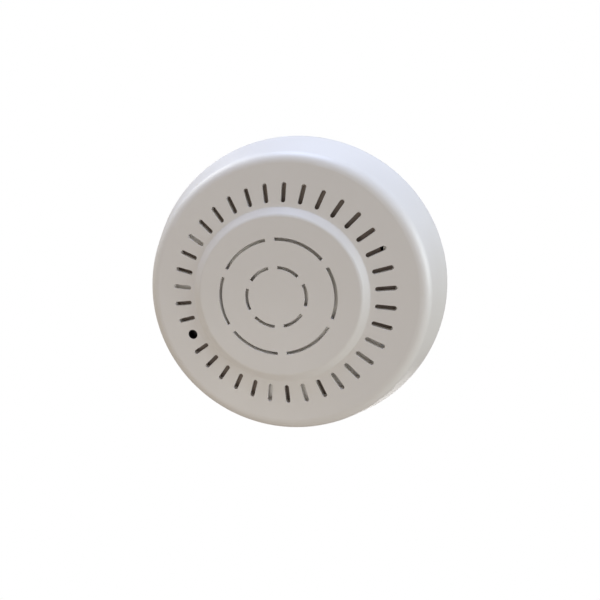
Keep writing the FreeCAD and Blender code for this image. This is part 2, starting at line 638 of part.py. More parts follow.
door = new_body("battery_door")
leaf = new_sketch(door, "door_leaf", "back_depth")
rectangle(leaf, "-leaf_half", "leaf_half", "-(well_outer_end-door_gap)", "hinge_y")
pad(door, leaf, "door_thickness")
knuckle = new_sketch(door, "door_knuckle", "-leaf_half", role="YZ_Plane")
circle(knuckle, "door_thickness/2", "hinge_y", "-hinge_depth")
pad(door, knuckle, "2*leaf_half")
pin = new_sketch(door, "door_pin", "-pin_half", role="YZ_Plane")
circle(pin, "pin_radius", "hinge_y", "-hinge_depth")
pad(door, pin, "2*pin_half")
grip = new_sketch(door, "door_grip", "back_depth", y="-(well_outer_end-4)")
obround(grip, "grip_length", "grip_width")
pocket(door, grip, "grip_depth")

# ---- circuit_board: a disc cut out for the battery well and the posts ----------------------------

board = new_body("circuit_board")
disc(board, "board_plate", "board_radius", "board_depth", "board_thickness")
board_cut = new_sketch(board, "board_well_cut", "board_depth")
rectangle(board_cut, "-(well_outside+board_gap)", "well_outside+board_gap", "-(board_radius+2)",
          "well_inner_end+well_wall+board_gap")
pocket(board, board_cut, "board_thickness")
for number, (x, y) in enumerate(fixing_spots + locating_spots):
    hole(board, f"board_post_hole_{number}", "post_hole_radius", "board_depth", "board_thickness", x, y)
hole(board, "board_edge_notch", "edge_post_radius+board_gap", "board_depth", "board_thickness",
     *edge_spot)
for number, (x, y) in enumerate(board_spots):
    hole(board, f"board_screw_hole_{number}", "board_screw_radius+0.25", "board_depth",
         "board_thickness", x, y)

# ---- screws ---------------------------------------------------------------------------------------

for number, (x, y) in enumerate(board_spots, 1):
    screw(f"board_screw_{number}", x, y, "board_screw_radius+1.25", "board_face", "1.4",
          "board_screw_radius", "back_depth+1", "board_face-back_depth-1")
for number, (x, y) in enumerate(fixing_spots + [edge_spot], 1):
    screw(f"cover_screw_{number}", x, y, "counterbore_radius-0.3", "screw_seat-screw_head_height",
          "screw_head_height", "pilot_radius-0.1", "screw_seat", "pilot_end_depth-0.6-screw_seat")

# ---- the smoke chamber: base with slanted vanes, screen, cap, light source and sensor -------------

chamber = doc.addObject("PartDesign::Body", "chamber_tray")
disc(chamber, "chamber_plate_disc", "chamber_radius", "board_face", "chamber_plate")
vane_outline = new_sketch(chamber, "chamber_vane", "plate_end")
polygon(vane_outline, [
    ("vane_inner_radius", "-2.2"), ("vane_outer_radius", "1.5"),
    ("vane_outer_radius-vane_thickness/2", "1.5+vane_thickness*0.8"),
    ("vane_inner_radius-vane_thickness/2", "-2.2+vane_thickness*0.8"),
])
vane = pad(chamber, vane_outline, "(cap_depth-0.1-plate_end)")
around(chamber, [vane], 16, "360")
EYE_HEADINGS = {"infrared_led": 200, "photodiode": 65}
for name, heading in EYE_HEADINGS.items():
    holder = new_sketch(chamber, name + "_holder", "plate_end", turn=str(heading))
    rectangle(holder, "eye_distance-1.9", "eye_distance+1.9", "-holder_size/2", "holder_size/2")
    pad(chamber, holder, "holder_size")
set_at(chamber, "chamber_x", "chamber_y")
bores = []
for name, heading in EYE_HEADINGS.items():
    x = f"(chamber_x+(eye_distance+2.2)*cos({heading}))"
    y = f"(chamber_y+(eye_distance+2.2)*sin({heading}))"
    bores.append(rod(name + "_bore", "eye_radius+0.1", "4.6", x, y, "eye_depth", heading + 180))
    barrel = rod(name + "_barrel", "eye_radius", "3.8", x, y, "eye_depth", heading + 180)
    tip_x = f"(chamber_x+(eye_distance-1.6)*cos({heading}))"
    tip_y = f"(chamber_y+(eye_distance-1.6)*sin({heading}))"
    lens = ball(name + "_lens", "eye_radius", tip_x, tip_y, "eye_depth")
    keep(fuse(name, [barrel, lens]), name)
keep(cut("smoke_chamber", chamber, fuse("chamber_bores", bores)), "smoke_chamber")

screen = new_body("insect_screen")
screen_outline = new_sketch(screen, "screen_ring", "plate_end")
circle(screen_outline, "screen_radius")
circle(screen_outline, "screen_radius-screen_thickness")
pad(screen, screen_outline, "(cap_depth-plate_end)")
slit_outline = new_sketch(screen, "screen_slit", "(plate_end+1)")
rectangle(slit_outline, "screen_radius-1", "screen_radius+1", "-0.8", "0.8")
slit = pocket(screen, slit_outline, "(cap_depth-plate_end-2)")
around(screen, [slit], 40, "360")
set_at(screen, "chamber_x", "chamber_y")

cap = new_body("chamber_cap")
disc(cap, "cap_plate", "cap_radius", "cap_depth", "chamber_plate")
cap_lip = new_sketch(cap, "cap_lip", "(cap_depth-1.2)")
circle(cap_lip, "cap_radius")
circle(cap_lip, "chamber_radius-0.1")
pad(cap, cap_lip, "1.2")
set_at(cap, "chamber_x", "chamber_y")

# ---- the sounder: a cup on three legs, its disc and the two contact pins --------------------------

cup = new_body("sounder_cup")
disc(cup, "cup_front", "cup_radius", "cup_floor", "cup_plate")
cup_rim = new_sketch(cup, "cup_rim", "cup_back_depth")
circle(cup_rim, "cup_radius")
circle(cup_rim, "cup_radius-cup_wall")
pad(cup, cup_rim, "(cup_floor-cup_back_depth)")
cup_ledge = new_sketch(cup, "cup_ledge", "piezo_seat")
circle(cup_ledge, "piezo_radius+ledge_ring/2")
circle(cup_ledge, "piezo_radius-ledge_ring/2")
pad(cup, cup_ledge, "(cup_floor-piezo_seat)")
hole(cup, "cup_sound_hole", "3", "cup_floor", "cup_plate")
leg_ring = "(cup_radius-cup_wall)"
for number, angle in enumerate(("75", "345", "200")):
    disc(cup, f"cup_leg_{number}", "cup_leg_radius", "board_face", "(cup_back_depth+0.6-board_face)",
         *polar(leg_ring, angle))
keep(tube_z("piezo_disc", "piezo_radius", "brass_top", "piezo_thickness"), "piezo_disc")
keep(tube_z("piezo_ceramic", "ceramic_radius", "ceramic_top", "ceramic_thickness"), "piezo_ceramic")
pin_y = "(well_inner_end+well_wall+3)"
keep(tube_z("sounder_pin_ceramic", "0.4", "board_face", "(ceramic_top-board_face)", "2.5", pin_y),
     "sounder_pin_ceramic")
keep(tube_z("sounder_pin_disc", "0.4", "board_face", "(brass_top-board_face)", "-2",
            "ceramic_radius+2.5"), "sounder_pin_disc")

# ---- parts soldered to the board ------------------------------------------------------------------

core_x, core_y = "14", "20"
core = [
    tube_z("core_foot", "4.6", "board_face", "1", core_x, core_y),
    tube_z("core_post", "1.6", "(board_face+1)", "4.6", core_x, core_y),
    tube_z("core_head", "4.6", "(board_face+5.6)", "1", core_x, core_y),
]
keep(fuse("transformer_core", core), "transformer_core")
winding_body = tube_z("winding_blank", "4", "(board_face+1)", "4.6", core_x, core_y)
winding_hole = tube_z("winding_hole", "1.6", "(board_face+0.5)", "5.6", core_x, core_y)
keep(cut("transformer_winding", winding_body, winding_hole), "transformer_winding")
for name, radius, height, x, y in (("large_capacitor", "3.15", "8", "30", "-6"),
                                   ("small_capacitor", "2.5", "6", "24", "5")):
    keep(tube_z(name, radius, "board_face", height, x, y), name)
chip = [block("chip_body", "-29", "-19", "-23.8", "-16.2", "(board_face+0.2)", "1.7")]
for number in range(5):
    x = f"-28+2*{number}"
    chip.append(block(f"chip_lead_{number}", f"{x}-0.25", f"{x}+0.25", "-25", "-15", "board_face", "0.3"))
keep(fuse("controller_chip", chip), "controller_chip")
resistors = doc.addObject("Part::Compound", "board_resistors")
RESISTOR_PLACES = ((19, -14), (19, -18), (19, -22), (25, -14), (-19, -31), (-24, -31))
resistors.Links = [
    block(f"resistor_{number}", f"{x}-1", f"{x}+1", f"{y}-0.6", f"{y}+0.6", "board_face", "0.6")
    for number, (x, y) in enumerate(RESISTOR_PLACES)
]
keep(resistors, "board_resistors")
x, y = indicator
keep(block("indicator_led", f"{x}-5.8", f"{x}-3.8", f"{y}-5.2", f"{y}-4", "board_face", "0.9"),
     "indicator_led")

# ---- the test switch and the plunger that presses it ----------------------------------------------

half = "switch_side/2"
case = block("switch_case", f"{x}-{half}", f"{x}+{half}", f"{y}-{half}", f"{y}+{half}", "board_face",
             "(switch_top_depth-board_face)")
shaft = tube_z("switch_shaft", "actuator_radius+0.3", "actuator_back_depth-1",
               "switch_top_depth-actuator_back_depth+1.5", x, y)
keep(cut("test_switch", case, shaft), "test_switch")
keep(tube_z("switch_actuator", "actuator_radius", "actuator_back_depth",
            "(plunger_back_depth-actuator_back_depth)", x, y), "switch_actuator")
stem_rod = tube_z("plunger_stem", "plunger_radius", "plunger_back_depth",
                  "(plunger_tip_depth-plunger_back_depth)", x, y)
flange = tube_z("plunger_flange", "flange_radius", "flange_top", "flange_thickness", x, y)
keep(fuse("test_plunger", [stem_rod, flange]), "test_plunger")
spring_space = "(flange_top-switch_top_depth)"
keep(coil("plunger_spring", "spring_radius", "spring_wire", f"{spring_space}/2.9",
          f"({spring_space}-2*spring_wire-0.1)", x, y, "(flange_top-spring_wire-0.05)"),
     "plunger_spring")

# ---- the two cells and their contacts -------------------------------------------------------------

outer_plate = "(contact_thickness-well_outer_end)"
inner_plate = "(well_inner_end-contact_thickness)"
body_length = "(cell_length-nub_length)"
for name, side, start, heading in (("cell_left", "-cell_spacing/2", outer_plate, 90),
                                   ("cell_right", "cell_spacing/2", inner_plate, -90)):
    sign = "+" if heading == 90 else "-"
    nub = rod(name + "_nub", "nub_radius", "nub_length", side, start, "cell_depth", heading)
    can = rod(name + "_can", "cell_radius", body_length, side, f"({start}{sign}nub_length)", "cell_depth",
              heading)
    keep(fuse(name, [can, nub]), name)
plate_top = "cell_depth-contact_side/2"
keep(block("bridge_contact", "-(cell_spacing+contact_side)/2", "(cell_spacing+contact_side)/2",
           inner_plate, "well_inner_end", plate_top, "contact_side"), "bridge_contact")
for name, side in (("positive_contact", "-cell_spacing/2"), ("negative_contact", "cell_spacing/2")):
    keep(block(name, f"{side}-contact_side/2", f"{side}+contact_side/2", "-well_outer_end", outer_plate,
               plate_top, "contact_side"), name)
spring_length = "(spring_room-2*contact_wire-0.1)"
for name, side, start in (("cell_spring_inner", "-cell_spacing/2", f"{inner_plate}-spring_room"),
                          ("cell_spring_outer", "cell_spacing/2", outer_plate)):
    keep(coil(name, "contact_coil_radius", "contact_wire", "spring_room/3", spring_length, side,
              f"({start}+contact_wire+0.05)", "cell_depth", -90), name)

# ---- finish: every object must have computed cleanly, then each node is written out ---------------

doc.recompute()
for item in doc.Objects:
    if "Invalid" in item.State or "Error" in item.State:
        raise RuntimeError(f"{item.Name} did not compute")
os.makedirs("parts", exist_ok=True)
for node in NODES:
    shape = node.Shape
    if shape.isNull() or not shape.isValid() or not shape.Solids:
        raise RuntimeError(f"{node.Label} has no valid solid")
    shape.exportStep(f"parts/{node.Label}.step")
    box = shape.BoundBox
    print(f"{node.Label:22} {len(shape.Solids):2} solid(s) {shape.Volume:9.1f} mm3  "
          f"x {box.XMin:6.1f}..{box.XMax:5.1f}  y {box.YMin:6.1f}..{box.YMax:5.1f}  "
          f"z {box.ZMin:6.1f}..{box.ZMax:5.1f}")
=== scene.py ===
# %% [markdown]
# A smoke alarm is a small white appliance that is almost all one material. Its look therefore comes
# from three things: the exact shape of the mouldings, how gently the plastic scatters light, and how
# the studio lights its edges. The shapes come from the CAD frame. This script gives every piece its
# finish, adds the small things that CAD leaves out, and builds the studio and the camera.

# %% Load the frame
import bmesh
import bpy
import math
from mathutils import Matrix, Vector


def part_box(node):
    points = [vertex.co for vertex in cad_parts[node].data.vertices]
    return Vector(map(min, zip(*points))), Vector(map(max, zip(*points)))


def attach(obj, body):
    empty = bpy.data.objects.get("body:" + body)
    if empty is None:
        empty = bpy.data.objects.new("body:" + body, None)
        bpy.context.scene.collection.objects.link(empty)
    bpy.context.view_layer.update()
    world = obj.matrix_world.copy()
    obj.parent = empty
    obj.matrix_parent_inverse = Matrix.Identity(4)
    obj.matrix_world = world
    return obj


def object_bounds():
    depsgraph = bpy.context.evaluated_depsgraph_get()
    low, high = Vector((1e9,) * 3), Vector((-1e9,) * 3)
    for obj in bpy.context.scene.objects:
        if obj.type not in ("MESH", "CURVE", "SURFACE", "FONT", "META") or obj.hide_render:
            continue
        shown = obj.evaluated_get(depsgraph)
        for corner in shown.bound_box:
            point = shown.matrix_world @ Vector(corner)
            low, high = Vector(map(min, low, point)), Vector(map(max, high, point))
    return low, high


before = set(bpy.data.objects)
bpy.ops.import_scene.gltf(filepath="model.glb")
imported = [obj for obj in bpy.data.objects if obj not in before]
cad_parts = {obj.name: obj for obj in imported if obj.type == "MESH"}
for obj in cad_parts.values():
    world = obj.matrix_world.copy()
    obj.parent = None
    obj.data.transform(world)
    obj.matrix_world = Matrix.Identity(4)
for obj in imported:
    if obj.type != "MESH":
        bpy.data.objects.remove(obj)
cad_low, cad_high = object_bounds()
MM = 0.001
cover_low, cover_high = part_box("front_cover")
board_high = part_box("circuit_board")[1]
door_low, door_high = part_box("battery_door")


def middle_of(name):
    low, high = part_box(name)
    return (low + high) / 2


print("nodes:", len(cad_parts), "cover is", round((cover_high.x - cover_low.x) / MM, 1), "mm across")

# %% [markdown]
# Moulded plastic is never one flat colour. The pigment drifts a little over centimetres, the tool's
# surface leaves a grain of a tenth of a millimetre, and hands polish some places more than others.
# Each of these is wanted on several finishes, so each is a node group with named inputs. A group only
# puts out colours, values and normals; the shader itself stays in the material.

# %% A helper that starts a node group
def start_group(name, inputs, outputs):
    group = bpy.data.node_groups.new(name, "ShaderNodeTree")
    for label, kind, value in inputs:
        socket = group.interface.new_socket(label, in_out="INPUT", socket_type=kind)
        socket.default_value = value
    for label, kind in outputs:
        group.interface.new_socket(label, in_out="OUTPUT", socket_type=kind)
    entry = group.nodes.new("NodeGroupInput")
    leave = group.nodes.new("NodeGroupOutput")
    return group, entry.outputs, leave.inputs


def calculate(tree, operation, first, second=None):
    # a Math node whose inputs are sockets or plain numbers
    node = tree.nodes.new("ShaderNodeMath")
    node.operation = operation
    for socket, value in zip(node.inputs, (first, second)):
        if isinstance(value, (int, float)):
            socket.default_value = value
        elif value is not None:
            tree.links.new(value, socket)
    return node.outputs[0]


def remap(tree, value, low, high, to_low=0.0, to_high=1.0):
    # a smooth step from low to high
    node = tree.nodes.new("ShaderNodeMapRange")
    node.interpolation_type = "SMOOTHSTEP"
    tree.links.new(value, node.inputs["Value"])
    for label, number in (("From Min", low), ("From Max", high), ("To Min", to_low), ("To Max", to_high)):
        if isinstance(number, (int, float)):
            node.inputs[label].default_value = number
        else:
            tree.links.new(number, node.inputs[label])
    return node.outputs["Result"]


def object_noise(tree, size, detail=2.0):
    # noise whose features are about as large as size, in metres, fixed to the piece
    place = tree.nodes.new("ShaderNodeTexCoord").outputs["Object"]
    noise = tree.nodes.new("ShaderNodeTexNoise")
    noise.inputs["Detail"].default_value = detail
    tree.links.new(place, noise.inputs["Vector"])
    if isinstance(size, (int, float)):
        noise.inputs["Scale"].default_value = 1.0 / size
    else:
        tree.links.new(calculate(tree, "DIVIDE", 1.0, size), noise.inputs["Scale"])
    return noise.outputs["Fac"]


# %% Colour drift, gloss drift and grain
def make_tone_drift():
    group, given, out = start_group(
        "tone_drift",
        [("Colour", "NodeSocketColor", (0.8, 0.8, 0.8, 1.0)), ("Second Colour", "NodeSocketColor",
          (0.7, 0.7, 0.7, 1.0)), ("Size", "NodeSocketFloat", 0.03)],
        [("Colour", "NodeSocketColor")],
    )
    amount = remap(group, object_noise(group, given["Size"]), 0.3, 0.7)
    mix = group.nodes.new("ShaderNodeMix")
    mix.data_type = "RGBA"
    group.links.new(amount, mix.inputs["Factor"])
    group.links.new(given["Colour"], mix.inputs["A"])
    group.links.new(given["Second Colour"], mix.inputs["B"])
    group.links.new(mix.outputs["Result"], out["Colour"])
    return group


def make_gloss_drift():
    group, given, out = start_group(
        "gloss_drift",
        [("Smooth", "NodeSocketFloat", 0.3), ("Rough", "NodeSocketFloat", 0.5),
         ("Size", "NodeSocketFloat", 0.02)],
        [("Roughness", "NodeSocketFloat")],
    )
    cloud = object_noise(group, given["Size"], detail=4.0)
    group.links.new(remap(group, cloud, 0.3, 0.7, given["Smooth"], given["Rough"]), out["Roughness"])
    return group


def make_mould_grain():
    group, given, out = start_group(
        "mould_grain", [("Size", "NodeSocketFloat", 0.0003)], [("Height", "NodeSocketFloat")])
    fine = object_noise(group, given["Size"], detail=3.0)
    coarse = object_noise(group, calculate(group, "MULTIPLY", given["Size"], 6.0), detail=1.0)
    group.links.new(calculate(group, "ADD", fine, calculate(group, "MULTIPLY", coarse, 0.6)),
                    out["Height"])
    return group


def make_soft_edge():
    group, given, out = start_group(
        "soft_edge", [("Radius", "NodeSocketFloat", 0.0003)], [("Normal", "NodeSocketVector")])
    bevel = group.nodes.new("ShaderNodeBevel")
    bevel.samples = 4
    group.links.new(given["Radius"], bevel.inputs["Radius"])
    group.links.new(bevel.outputs["Normal"], out["Normal"])
    return group


TONE_DRIFT = make_tone_drift()
GLOSS_DRIFT = make_gloss_drift()
MOULD_GRAIN = make_mould_grain()
SOFT_EDGE = make_soft_edge()
print("shared effects:", [group.name for group in bpy.data.node_groups])

# %% [markdown]
# A finish is a Principled shader with those effects plugged in. One function makes the common case,
# so that a finish can be read as a line of values: two colours that drift into each other, the
# smoothest and roughest places, the grain's size and depth, and how round its edges look.

# %% The common finish
def place_group(tree, group, **values):
    node = tree.nodes.new("ShaderNodeGroup")
    node.node_tree = group
    for label, value in values.items():
        node.inputs[label.replace("_", " ")].default_value = value
    return node


def make_finish(name, colour, second, smooth, rough, grain, depth, edge=0.2 * MM, drift=30 * MM,
                metallic=0.0, coat=0.0):
    material = bpy.data.materials.new(name)
    material.use_nodes = True
    tree = material.node_tree
    shader = tree.nodes["Principled BSDF"]
    shader.inputs["Metallic"].default_value = metallic
    shader.inputs["Coat Weight"].default_value = coat
    tone = place_group(tree, TONE_DRIFT, Colour=(*colour, 1.0), Second_Colour=(*second, 1.0), Size=drift)
    tree.links.new(tone.outputs["Colour"], shader.inputs["Base Color"])
    gloss = place_group(tree, GLOSS_DRIFT, Smooth=smooth, Rough=rough, Size=drift * 0.6)
    tree.links.new(gloss.outputs["Roughness"], shader.inputs["Roughness"])
    surface = place_group(tree, MOULD_GRAIN, Size=grain)
    bump = tree.nodes.new("ShaderNodeBump")
    bump.name = "grain_bump"
    bump.inputs["Strength"].default_value = 1.0
    bump.inputs["Distance"].default_value = depth
    tree.links.new(surface.outputs["Height"], bump.inputs["Height"])
    round_edges = place_group(tree, SOFT_EDGE, Radius=edge)
    tree.links.new(round_edges.outputs["Normal"], bump.inputs["Normal"])
    tree.links.new(bump.outputs["Normal"], shader.inputs["Normal"])
    return material


# %% [markdown]
# The cover is glossy white ABS, polished in the tool, so its grain is hardly there. The rear housing,
# the door and the bracket come from cheaper tools with a spark-eroded surface: the same pigment, a
# duller skin. Small tone differences between the four keep them readable as separate mouldings.

# %% White mouldings
cover_white = make_finish("cover_white", (0.80, 0.80, 0.79), (0.785, 0.785, 0.775), 0.42, 0.50,
                          0.5 * MM, 0.002 * MM, edge=0.25 * MM, drift=40 * MM)
housing_white = make_finish("housing_white", (0.74, 0.74, 0.72), (0.70, 0.70, 0.68), 0.48, 0.60,
                            0.18 * MM, 0.012 * MM)
door_white = make_finish("door_white", (0.77, 0.77, 0.75), (0.74, 0.74, 0.72), 0.42, 0.52,
                         0.18 * MM, 0.010 * MM)
bracket_white = make_finish("bracket_white", (0.76, 0.75, 0.73), (0.72, 0.715, 0.69), 0.46, 0.58,
                            0.20 * MM, 0.012 * MM)
sounder_white = make_finish("sounder_white", (0.82, 0.81, 0.78), (0.79, 0.78, 0.75), 0.45, 0.55,
                            0.18 * MM, 0.008 * MM)

# %% [markdown]
# The side wall carries three faint witness marks of the tool: two short vertical ticks and a thin
# rectangle where an insert meets the cavity. They are a few hundredths of a millimetre deep, so they
# are drawn as height in the cover's own finish, measured by the angle around the alarm's axis and the
# depth behind the face.

# %% Witness marks on the cover's side wall
DISC_RISE = 1.8 * MM
FACE_Z = cover_low.z + DISC_RISE


def band(tree, value, low, high, soft):
    rise = remap(tree, value, low - soft, low + soft)
    fall = remap(tree, value, high - soft, high + soft, 1.0, 0.0)
    return calculate(tree, "MULTIPLY", rise, fall)


def make_witness_marks():
    group, given, out = start_group("witness_marks", [], [("Height", "NodeSocketFloat")])
    place = group.nodes.new("ShaderNodeTexCoord").outputs["Object"]
    split = group.nodes.new("ShaderNodeSeparateXYZ")
    group.links.new(place, split.inputs["Vector"])
    turn = calculate(group, "ARCTAN2", split.outputs["Y"], calculate(group, "MULTIPLY",
                     split.outputs["X"], -1.0))
    behind = calculate(group, "SUBTRACT", split.outputs["Z"], FACE_Z)
    soft = math.radians(0.12)

    def tick(angle, width, low, high):
        # angle is measured from -X towards +Y, so that the marks stay clear of the jump at +X
        across = band(group, turn, math.radians(angle - width / 2), math.radians(angle + width / 2), soft)
        return calculate(group, "MULTIPLY", across, band(group, behind, low, high, 0.15 * MM))

    marks = calculate(group, "MULTIPLY", tick(31, 0.35, 5 * MM, 10 * MM), 0.8)
    fainter = calculate(group, "MULTIPLY", tick(12, 0.3, 6.3 * MM, 9 * MM), 0.4)
    marks = calculate(group, "ADD", marks, fainter)
    frame_outer = tick(-33.5, 3.4, 5.9 * MM, 13.5 * MM)
    frame_inner = tick(-33.5, 2.7, 6.3 * MM, 13.1 * MM)
    outline = calculate(group, "MULTIPLY", calculate(group, "SUBTRACT", frame_outer, frame_inner), 0.3)
    group.links.new(calculate(group, "MULTIPLY", calculate(group, "ADD", marks, outline), -1.0),
                    out["Height"])
    return group


WITNESS_MARKS = make_witness_marks()
cover_tree = cover_white.node_tree
marks_bump = cover_tree.nodes.new("ShaderNodeBump")
marks_bump.inputs["Strength"].default_value = 1.0
marks_bump.inputs["Distance"].default_value = 0.05 * MM
cover_tree.links.new(place_group(cover_tree, WITNESS_MARKS).outputs["Height"], marks_bump.inputs["Height"])
cover_tree.links.new(cover_tree.nodes["grain_bump"].outputs["Normal"], marks_bump.inputs["Normal"])
cover_tree.links.new(marks_bump.outputs["Normal"], cover_tree.nodes["Principled BSDF"].inputs["Normal"])
print("witness marks are drawn on", cover_white.name)

# %% [markdown]
# Inside the case almost everything is black plastic or tinned metal. The smoke chamber has to swallow
# stray light, so it is the darkest and dullest piece. The plunger in the indicator hole is a smoked
# light guide: nearly black until the lamp behind it blinks.

# %% Black plastics, lenses and metals
chamber_black = make_finish("chamber_black", (0.012, 0.012, 0.013), (0.02, 0.02, 0.02), 0.62, 0.80,
                            0.15 * MM, 0.012 * MM)
part_black = make_finish("part_black", (0.025, 0.025, 0.027), (0.04, 0.04, 0.042), 0.42, 0.58,
                         0.12 * MM, 0.006 * MM, drift=6 * MM)
smoked_guide = make_finish("smoked_guide", (0.004, 0.004, 0.004), (0.007, 0.006, 0.006), 0.35, 0.45,
                           0.4 * MM, 0.001 * MM, drift=4 * MM)
eye_lens = make_finish("eye_lens", (0.030, 0.022, 0.045), (0.05, 0.03, 0.07), 0.06, 0.14,
                       0.4 * MM, 0.001 * MM, drift=3 * MM, coat=0.5)
lamp_lens = make_finish("lamp_lens", (0.62, 0.08, 0.05), (0.72, 0.14, 0.09), 0.12, 0.22,
                        0.3 * MM, 0.001 * MM, drift=2 * MM, coat=0.4)
zinc_steel = make_finish("zinc_steel", (0.56, 0.57, 0.60), (0.48, 0.49, 0.52), 0.24, 0.42,
                         0.10 * MM, 0.004 * MM, drift=3 * MM, metallic=1.0)
nickel = make_finish("nickel", (0.68, 0.66, 0.62), (0.58, 0.56, 0.52), 0.16, 0.32,
                     0.12 * MM, 0.002 * MM, edge=0.08 * MM, drift=5 * MM, metallic=1.0)
sounder_brass = make_finish("sounder_brass", (0.72, 0.52, 0.22), (0.60, 0.42, 0.18), 0.28, 0.46,
                            0.10 * MM, 0.003 * MM, edge=0.05 * MM, drift=8 * MM, metallic=1.0)
piezo_grey = make_finish("piezo_grey", (0.55, 0.55, 0.52), (0.46, 0.46, 0.44), 0.5, 0.7,
                         0.08 * MM, 0.004 * MM, edge=0.05 * MM, drift=5 * MM)
ferrite_grey = make_finish("ferrite_grey", (0.055, 0.055, 0.058), (0.09, 0.09, 0.092), 0.5, 0.7,
                           0.10 * MM, 0.010 * MM, drift=4 * MM)
label_silver = make_finish("label_silver", (0.60, 0.60, 0.60), (0.56, 0.56, 0.57), 0.34, 0.46,
                           0.25 * MM, 0.003 * MM, edge=0.05 * MM, drift=12 * MM, metallic=0.35)
solder_tin = make_finish("solder_tin", (0.60, 0.60, 0.61), (0.46, 0.46, 0.48), 0.2, 0.4,
                         0.15 * MM, 0.006 * MM, edge=0.05 * MM, drift=2 * MM, metallic=1.0)

# %% [markdown]
# Four finishes have a pattern of their own. The circuit board shows copper tracks under green lacquer,
# the coil shows its turns, the cells have a dark sleeve with a copper-coloured end, and the insect
# screen is woven wire. Each pattern is built from the piece's own coordinates and laid over a common
# finish.

# %% Patterned finishes
def axis_value(tree, axis):
    split = tree.nodes.new("ShaderNodeSeparateXYZ")
    tree.links.new(tree.nodes.new("ShaderNodeTexCoord").outputs["Object"], split.inputs["Vector"])
    return split.outputs[axis]


def overlay_colour(material, mask, colour):
    # puts a colour over the finish's own wherever the mask is 1
    tree = material.node_tree
    base = tree.nodes["Principled BSDF"].inputs["Base Color"]
    under = base.links[0].from_socket
    mix = tree.nodes.new("ShaderNodeMix")
    mix.data_type = "RGBA"
    mix.inputs["B"].default_value = (*colour, 1.0)
    tree.links.new(mask, mix.inputs["Factor"])
    tree.links.new(under, mix.inputs["A"])
    tree.links.new(mix.outputs["Result"], base)


def overlay_height(material, height, distance):
    # adds relief on top of the finish's grain
    tree = material.node_tree
    normal = tree.nodes["Principled BSDF"].inputs["Normal"]
    under = normal.links[0].from_socket
    bump = tree.nodes.new("ShaderNodeBump")
    bump.inputs["Strength"].default_value = 1.0
    bump.inputs["Distance"].default_value = distance
    tree.links.new(height, bump.inputs["Height"])
    tree.links.new(under, bump.inputs["Normal"])
    tree.links.new(bump.outputs["Normal"], normal)


def stripes(tree, value, pitch, share):
    # 1 on stripes that take that share of each pitch
    phase = calculate(tree, "PINGPONG", value, pitch / 2)
    return remap(tree, phase, pitch / 2 * (share - 0.06), pitch / 2 * (share + 0.06), 1.0, 0.0)


board_green = make_finish("board_green", (0.012, 0.13, 0.05), (0.018, 0.16, 0.065), 0.25, 0.36,
                          0.3 * MM, 0.002 * MM, edge=0.1 * MM, drift=10 * MM, coat=0.3)
tree = board_green.node_tree
bends = object_noise(tree, 14 * MM, detail=0.0)
wander = calculate(tree, "MULTIPLY", bends, 22 * MM)
tracks = stripes(tree, calculate(tree, "ADD", axis_value(tree, "X"), wander), 2.4 * MM, 0.45)
patches = remap(tree, object_noise(tree, 11 * MM, detail=0.0), 0.47, 0.50)
tracks = calculate(tree, "MULTIPLY", tracks, patches)
overlay_colour(board_green, tracks, (0.03, 0.22, 0.07))
overlay_height(board_green, tracks, 0.02 * MM)

coil_copper = make_finish("coil_copper", (0.45, 0.16, 0.06), (0.56, 0.22, 0.09), 0.22, 0.34,
                          0.1 * MM, 0.001 * MM, edge=0.05 * MM, drift=3 * MM, metallic=0.9, coat=0.4)
tree = coil_copper.node_tree
overlay_height(coil_copper, stripes(tree, axis_value(tree, "Z"), 0.16 * MM, 0.7), 0.03 * MM)

screen_wire = make_finish("screen_wire", (0.38, 0.38, 0.39), (0.30, 0.30, 0.31), 0.35, 0.5,
                          0.1 * MM, 0.002 * MM, edge=0.05 * MM, drift=5 * MM, metallic=1.0)
tree = screen_wire.node_tree
overlay_height(screen_wire, stripes(tree, axis_value(tree, "Z"), 0.5 * MM, 0.5), 0.05 * MM)

sleeve_dark = make_finish("sleeve_dark", (0.018, 0.022, 0.045), (0.026, 0.030, 0.06), 0.22, 0.34,
                          0.4 * MM, 0.002 * MM, drift=6 * MM, coat=0.3)
cell_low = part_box("cell_left")[0]


def make_cell_jacket(name, nub_end, direction):
    # a dark sleeve with a copper-coloured third at the nub's end, and bare steel end faces
    jacket = make_finish(name, (0.02, 0.022, 0.028), (0.03, 0.032, 0.04), 0.18, 0.28,
                         0.4 * MM, 0.001 * MM, drift=8 * MM, coat=0.4)
    tree = jacket.node_tree
    along = calculate(tree, "MULTIPLY", calculate(tree, "SUBTRACT", axis_value(tree, "Y"), nub_end),
                      direction)
    overlay_colour(jacket, remap(tree, along, 13.8 * MM, 14.0 * MM, 1.0, 0.0), (0.55, 0.26, 0.10))
    ring = band(tree, along, 14.0 * MM, 14.5 * MM, 0.05 * MM)
    overlay_colour(jacket, ring, (0.70, 0.62, 0.45))
    steel = remap(tree, along, 1.15 * MM, 1.25 * MM, 1.0, 0.0)
    overlay_colour(jacket, steel, (0.60, 0.60, 0.61))
    tree.links.new(steel, tree.nodes["Principled BSDF"].inputs["Metallic"])
    return jacket


right_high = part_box("cell_right")[1]
jacket_left = make_cell_jacket("cell_jacket_left", cell_low.y, 1.0)
jacket_right = make_cell_jacket("cell_jacket_right", right_high.y, -1.0)
print("patterned finishes are ready")

# %% [markdown]
# Where the cover's wall ends at the back, its rounded edge is painted a little darker: painted shade for
# the round that faces away from the light.

# %% Painted shade on the back edge of the cover
rim_painted_shade = remap(cover_tree, axis_value(cover_tree, "Z"), cover_high.z - 1.3 * MM, cover_high.z - 0.8 * MM)
# painted shade: the back edge's colour is darkened towards a cool grey
overlay_colour(cover_white, rim_painted_shade, (0.52, 0.53, 0.57))

# %% [markdown]
# Every CAD node keeps its own mesh and gets one of these finishes. The list below reads like a parts
# list, and a node that it leaves out stops the script.

